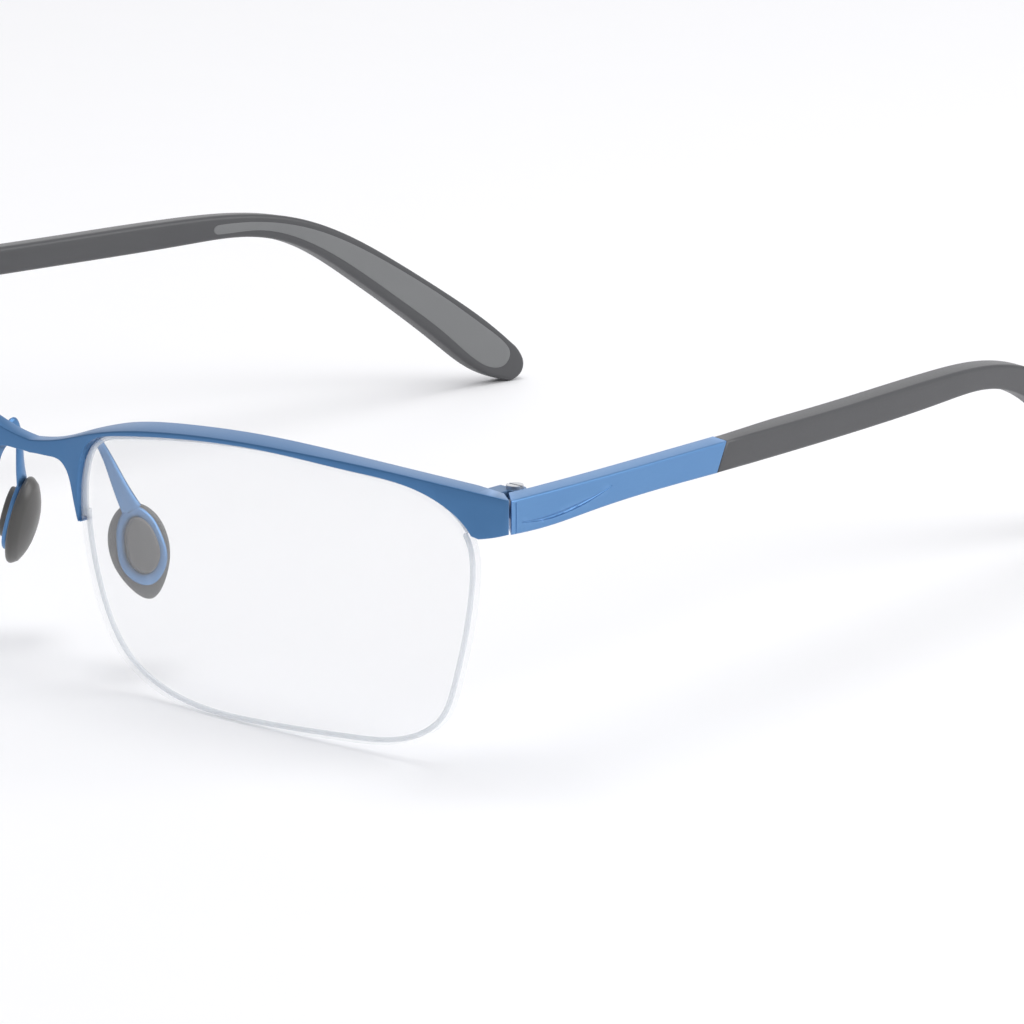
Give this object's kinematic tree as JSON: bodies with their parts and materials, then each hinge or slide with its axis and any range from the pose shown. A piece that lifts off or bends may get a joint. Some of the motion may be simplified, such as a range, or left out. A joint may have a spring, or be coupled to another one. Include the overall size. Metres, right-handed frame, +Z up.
{
  "type": "half rim eyeglasses",
  "caption": "Half rim spectacles: metal bar over two clear lenses held by nylon cords, adjustable nose pads, and folding temples with metal fronts and bent plastic ends.",
  "frame": {"origin": "middle of the footprint, on the surface that the lenses and temple tips stand on", "axes": "+Z up, the front faces -Y, the temples run to +Y, and +X is the wearer's left"},
  "size_m": [0.14, 0.1416, 0.0332],
  "materials": {
    "blue_metal": "satin anodised blue",
    "blue_temple": "satin anodised blue",
    "blue_wire": "satin blue",
    "clear_lens": "clear polished",
    "nylon": "clear nylon",
    "silicone": "satin grey silicone",
    "hinge_metal": "satin blue, worn at the knuckles",
    "screw_steel": "bright steel",
    "core_steel": "drawn steel",
    "grey_sleeve": "satin grey",
    "grey_inlay": "soft matt grey"
  },
  "bodies": {
    "front": {"front_bar": "blue_metal", "lens_left": "clear_lens", "lens_cord_left": "nylon", "rim_liner_left": "nylon", "pad_arm_left": "blue_wire", "nose_pad_left": "silicone", "front_hinge_left": "hinge_metal", "hinge_screw_left": "screw_steel", "lens_right": "clear_lens", "lens_cord_right": "nylon", "rim_liner_right": "nylon", "pad_arm_right": "blue_wire", "nose_pad_right": "silicone", "front_hinge_right": "hinge_metal", "hinge_screw_right": "screw_steel"},
    "temple_left": {"temple_plate_left": "blue_temple", "temple_hinge_left": "hinge_metal", "temple_core_left": "core_steel", "temple_sleeve_left": "grey_sleeve", "temple_inlay_left": "grey_inlay"},
    "temple_right": {"temple_plate_right": "blue_temple", "temple_hinge_right": "hinge_metal", "temple_core_right": "core_steel", "temple_sleeve_right": "grey_sleeve", "temple_inlay_right": "grey_inlay"}
  },
  "joints": [
    {"name": "temple_left_fold", "type": "hinge", "parent": "front", "child": "temple_left", "pos_m": [0.0662, -0.06075, 0.0297], "axis": [0, 0, 1], "range_deg": [0, 84]},
    {"name": "temple_right_fold", "type": "hinge", "parent": "front", "child": "temple_right", "pos_m": [-0.0662, -0.06075, 0.0297], "axis": [0, 0, -1], "range_deg": [0, 79]}
  ]
}
